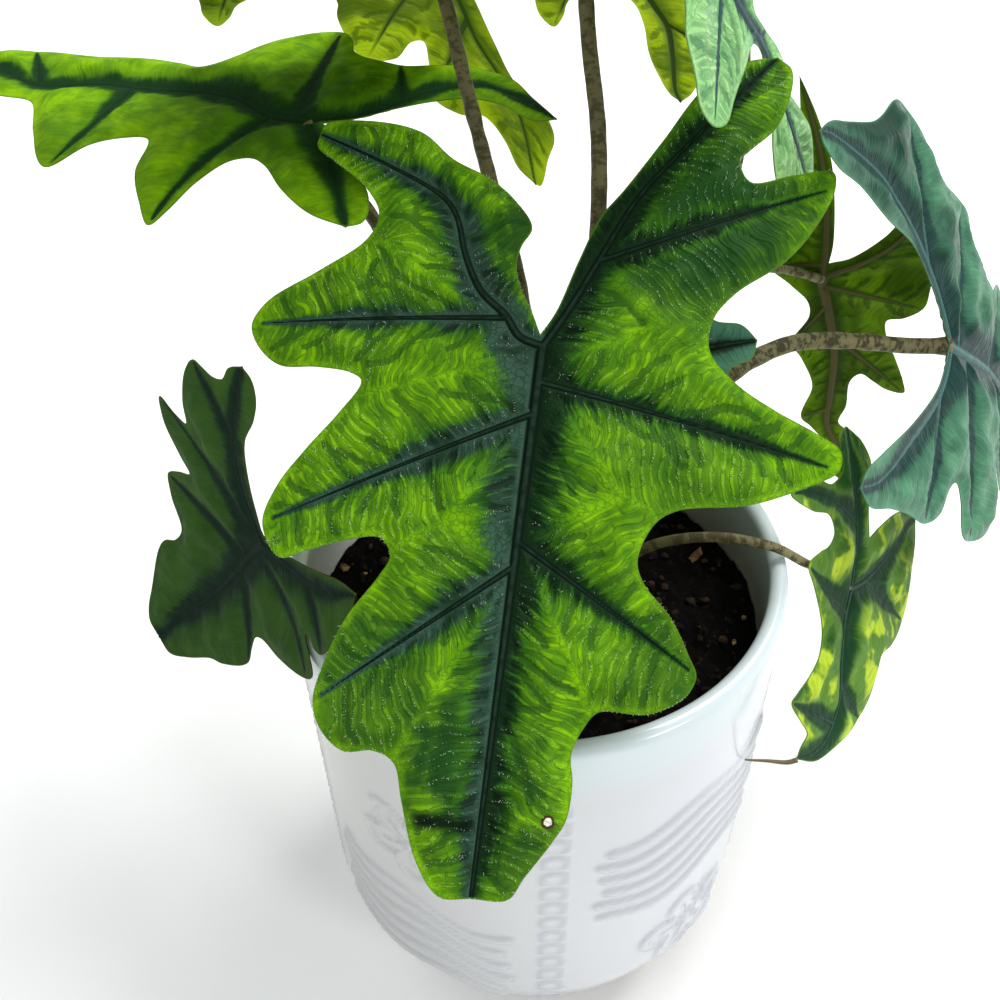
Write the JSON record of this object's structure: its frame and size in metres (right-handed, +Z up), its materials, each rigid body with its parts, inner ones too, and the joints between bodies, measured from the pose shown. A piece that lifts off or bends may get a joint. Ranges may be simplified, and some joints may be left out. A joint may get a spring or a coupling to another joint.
{
  "type": "potted alocasia",
  "caption": "Potted aroid house plant: deeply lobed matte green leaves on slim mottled petioles, rising from dark soil in a white glazed cylinder pot with low relief.",
  "frame": {"origin": "middle of the pot's flat foot, on the surface it stands on", "axes": "+Z up through the pot's middle, -Y towards the front, where the largest leaf hangs, +X to the right"},
  "size_m": [0.3874, 0.2699, 0.3458],
  "materials": {
    "pot_glaze": "glossy white glaze over low relief",
    "potting_mix": "matte, crumbly and dark",
    "leaf_blade": "satin, quilted and finely hairy",
    "leaf_petiole": "satin, banded tan and brown"
  },
  "bodies": {
    "root": {"pot": "pot_glaze", "soil": "potting_mix", "leaf_front_blade": "leaf_blade", "leaf_front_petiole": "leaf_petiole", "leaf_left_blade": "leaf_blade", "leaf_left_petiole": "leaf_petiole", "leaf_low_blade": "leaf_blade", "leaf_low_petiole": "leaf_petiole", "leaf_right_blade": "leaf_blade", "leaf_right_petiole": "leaf_petiole", "leaf_hanging_blade": "leaf_blade", "leaf_hanging_petiole": "leaf_petiole", "leaf_behind_blade": "leaf_blade", "leaf_behind_petiole": "leaf_petiole", "leaf_high_left_blade": "leaf_blade", "leaf_high_left_petiole": "leaf_petiole", "leaf_high_right_blade": "leaf_blade", "leaf_high_right_petiole": "leaf_petiole", "leaf_top_blade": "leaf_blade", "leaf_top_petiole": "leaf_petiole", "leaf_young_blade": "leaf_blade", "leaf_young_petiole": "leaf_petiole"}
  },
  "joints": []
}
